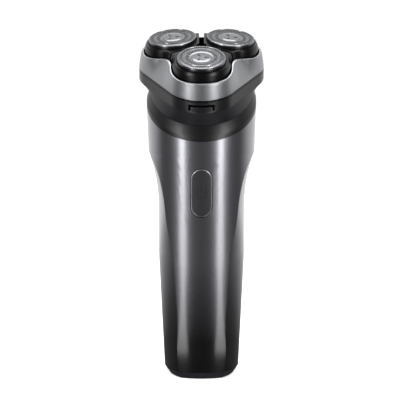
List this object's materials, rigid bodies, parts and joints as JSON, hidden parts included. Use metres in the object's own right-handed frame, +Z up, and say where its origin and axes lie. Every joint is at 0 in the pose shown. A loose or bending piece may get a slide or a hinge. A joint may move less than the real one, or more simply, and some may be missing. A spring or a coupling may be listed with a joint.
{
  "type": "rotary electric shaver",
  "caption": "Handheld rotary shaver with a waisted metallic body, angled black collar, flip-open rounded-triangle head, spring-loaded slotted cutters and a USB-C charging socket.",
  "frame": {"origin": "middle of the flat base, on the axis of the body", "axes": "+Z up through the body, -Y the front with the power button, +X the user's right when looking at the front"},
  "size_m": [0.058, 0.0593, 0.1599],
  "materials": {
    "metallic_paint": "metallic graphite lacquer, fading to black at the base",
    "gloss_black": "gloss moulded",
    "satin_black": "satin moulded",
    "internal_plastic": "as moulded",
    "acetal": "as moulded",
    "plated_steel": "nickel plated",
    "screw_steel": "bright",
    "brass": "turned",
    "elastomer": "moulded",
    "cell_sleeve": "shrink sleeve",
    "circuit_board": "solder mask",
    "chip_black": "epoxy",
    "led_lens": "diffuse",
    "lead_red": "insulated wire",
    "silver_trim": "satin silver plating",
    "cutter_steel": "ground and polished"
  },
  "bodies": {
    "handle": {"body_sleeve": "metallic_paint", "collar_ring": "gloss_black", "neck_shell": "satin_black", "bottom_cap": "satin_black", "bottom_gasket": "elastomer", "bottom_screws": "screw_steel", "chassis_front": "internal_plastic", "chassis_back": "internal_plastic", "motor_can": "plated_steel", "motor_end_cap": "internal_plastic", "motor_screws": "screw_steel", "gear_plate": "plated_steel", "drive_deck": "internal_plastic", "deck_seal": "elastomer", "deck_screws": "screw_steel", "shaft_seals": "elastomer", "battery_cell": "cell_sleeve", "battery_tabs": "plated_steel", "main_board": "circuit_board", "board_components": "chip_black", "power_switch": "plated_steel", "indicator_led": "led_lens", "usb_board": "circuit_board", "usb_socket": "plated_steel", "motor_leads": "lead_red", "button_seal": "elastomer", "hinge_pin": "screw_steel"},
    "motor_rotor": {"motor_shaft": "screw_steel", "motor_pinion": "brass"},
    "power_key": {"power_button": "gloss_black"},
    "key_switch": {"switch_actuator": "acetal"},
    "latch": {"release_latch": "gloss_black"},
    "head": {"head_frame": "satin_black", "trim_ring": "silver_trim"},
    "drive_front": {"drive_gear_front": "acetal", "drive_spring_front": "screw_steel"},
    "drive_pin_front": {"drive_pin_front": "screw_steel"},
    "pod_front": {"pod_front": "satin_black", "pod_retainer_front": "internal_plastic"},
    "cap_front": {"cutter_cap_front": "cutter_steel"},
    "cutter_front": {"cutter_rotor_front": "cutter_steel", "rotor_hub_front": "acetal"},
    "drive_right": {"drive_gear_right": "acetal", "drive_spring_right": "screw_steel"},
    "drive_pin_right": {"drive_pin_right": "screw_steel"},
    "pod_right": {"pod_right": "satin_black", "pod_retainer_right": "internal_plastic"},
    "cap_right": {"cutter_cap_right": "cutter_steel"},
    "cutter_right": {"cutter_rotor_right": "cutter_steel", "rotor_hub_right": "acetal"},
    "drive_left": {"drive_gear_left": "acetal", "drive_spring_left": "screw_steel"},
    "drive_pin_left": {"drive_pin_left": "screw_steel"},
    "pod_left": {"pod_left": "satin_black", "pod_retainer_left": "internal_plastic"},
    "cap_left": {"cutter_cap_left": "cutter_steel"},
    "cutter_left": {"cutter_rotor_left": "cutter_steel", "rotor_hub_left": "acetal"}
  },
  "joints": [
    {"name": "head_open", "type": "hinge", "parent": "handle", "child": "head", "pos_m": [0, 0.02123, 0.14662], "axis": [-1, 0, 0], "range_deg": [0, 105]},
    {"name": "latch_press", "type": "slide", "parent": "handle", "child": "latch", "axis": [0, 0.9397, 0.342], "range_m": [0, 0.0007], "stiffness_N_per_m": 1000, "springref_m": -0.0006},
    {"name": "power_press", "type": "slide", "parent": "handle", "child": "power_key", "axis": [0, 1, 0], "range_m": [0, 0.0005], "stiffness_N_per_m": 1500, "springref_m": -0.0004},
    {"name": "switch_press", "type": "slide", "parent": "handle", "child": "key_switch", "axis": [0, 1, 0], "range_m": [0, 0.0005]},
    {"name": "motor_spin", "type": "hinge", "parent": "handle", "child": "motor_rotor", "pos_m": [0, -0.00129, 0.1348], "axis": [0, -0.342, 0.9397], "continuous": true},
    {"name": "drive_spin_front", "type": "hinge", "parent": "handle", "child": "drive_front", "pos_m": [0, -0.01539, 0.12967], "axis": [0, -0.342, 0.9397], "continuous": true},
    {"name": "drive_plunge_front", "type": "slide", "parent": "drive_front", "child": "drive_pin_front", "axis": [0, 0.342, -0.9397], "range_m": [0, 0.001], "deforming": ["drive_spring_front"]},
    {"name": "pod_tilt_front", "type": "hinge", "parent": "head", "child": "pod_front", "pos_m": [0, -0.01876, 0.13994], "axis": [1, 0, 0], "range_deg": [-3, 3], "stiffness_Nm_per_rad": 0.03},
    {"name": "cap_float_front", "type": "slide", "parent": "pod_front", "child": "cap_front", "axis": [0, 0.4226, -0.9063], "range_m": [0, 0.001], "stiffness_N_per_m": 300, "springref_m": -0.0008},
    {"name": "cutter_spin_front", "type": "hinge", "parent": "cap_front", "child": "cutter_front", "pos_m": [0, -0.02283, 0.14867], "axis": [0, -0.4226, 0.9063], "continuous": true},
    {"name": "drive_spin_right", "type": "hinge", "parent": "handle", "child": "drive_right", "pos_m": [0.01299, 0.00576, 0.13737], "axis": [0, -0.342, 0.9397], "continuous": true},
    {"name": "drive_plunge_right", "type": "slide", "parent": "drive_right", "child": "drive_pin_right", "axis": [0, 0.342, -0.9397], "range_m": [0, 0.001], "deforming": ["drive_spring_right"]},
    {"name": "pod_tilt_right", "type": "hinge", "parent": "head", "child": "pod_right", "pos_m": [0.0127, 0.0019, 0.14746], "axis": [-0.5, 0.8138, 0.2962], "range_deg": [-3, 3], "stiffness_Nm_per_rad": 0.03},
    {"name": "cap_float_right", "type": "slide", "parent": "pod_right", "child": "cap_right", "axis": [-0.0755, 0.2998, -0.951], "range_m": [0, 0.001], "stiffness_N_per_m": 300, "springref_m": -0.0008},
    {"name": "cutter_spin_right", "type": "hinge", "parent": "cap_right", "child": "cutter_right", "pos_m": [0.01342, -0.00098, 0.15662], "axis": [0.0755, -0.2998, 0.951], "continuous": true},
    {"name": "drive_spin_left", "type": "hinge", "parent": "handle", "child": "drive_left", "pos_m": [-0.01299, 0.00576, 0.13737], "axis": [0, -0.342, 0.9397], "continuous": true},
    {"name": "drive_plunge_left", "type": "slide", "parent": "drive_left", "child": "drive_pin_left", "axis": [0, 0.342, -0.9397], "range_m": [0, 0.001], "deforming": ["drive_spring_left"]},
    {"name": "pod_tilt_left", "type": "hinge", "parent": "head", "child": "pod_left", "pos_m": [-0.0127, 0.0019, 0.14746], "axis": [-0.5, -0.8138, -0.2962], "range_deg": [-3, 3], "stiffness_Nm_per_rad": 0.03},
    {"name": "cap_float_left", "type": "slide", "parent": "pod_left", "child": "cap_left", "axis": [0.0755, 0.2998, -0.951], "range_m": [0, 0.001], "stiffness_N_per_m": 300, "springref_m": -0.0008},
    {"name": "cutter_spin_left", "type": "hinge", "parent": "cap_left", "child": "cutter_left", "pos_m": [-0.01342, -0.00098, 0.15662], "axis": [-0.0755, -0.2998, 0.951], "continuous": true}
  ],
  "couplings": [
    {"joint": "switch_press", "follows": "power_press", "ratio": 1},
    {"joint": "drive_spin_front", "follows": "motor_spin", "ratio": -0.53846},
    {"joint": "drive_plunge_front", "follows": "cap_float_front", "ratio": 1},
    {"joint": "cutter_spin_front", "follows": "motor_spin", "ratio": -0.53846},
    {"joint": "drive_spin_right", "follows": "motor_spin", "ratio": -0.53846},
    {"joint": "drive_plunge_right", "follows": "cap_float_right", "ratio": 1},
    {"joint": "cutter_spin_right", "follows": "motor_spin", "ratio": -0.53846},
    {"joint": "drive_spin_left", "follows": "motor_spin", "ratio": -0.53846},
    {"joint": "drive_plunge_left", "follows": "cap_float_left", "ratio": 1},
    {"joint": "cutter_spin_left", "follows": "motor_spin", "ratio": -0.53846}
  ]
}
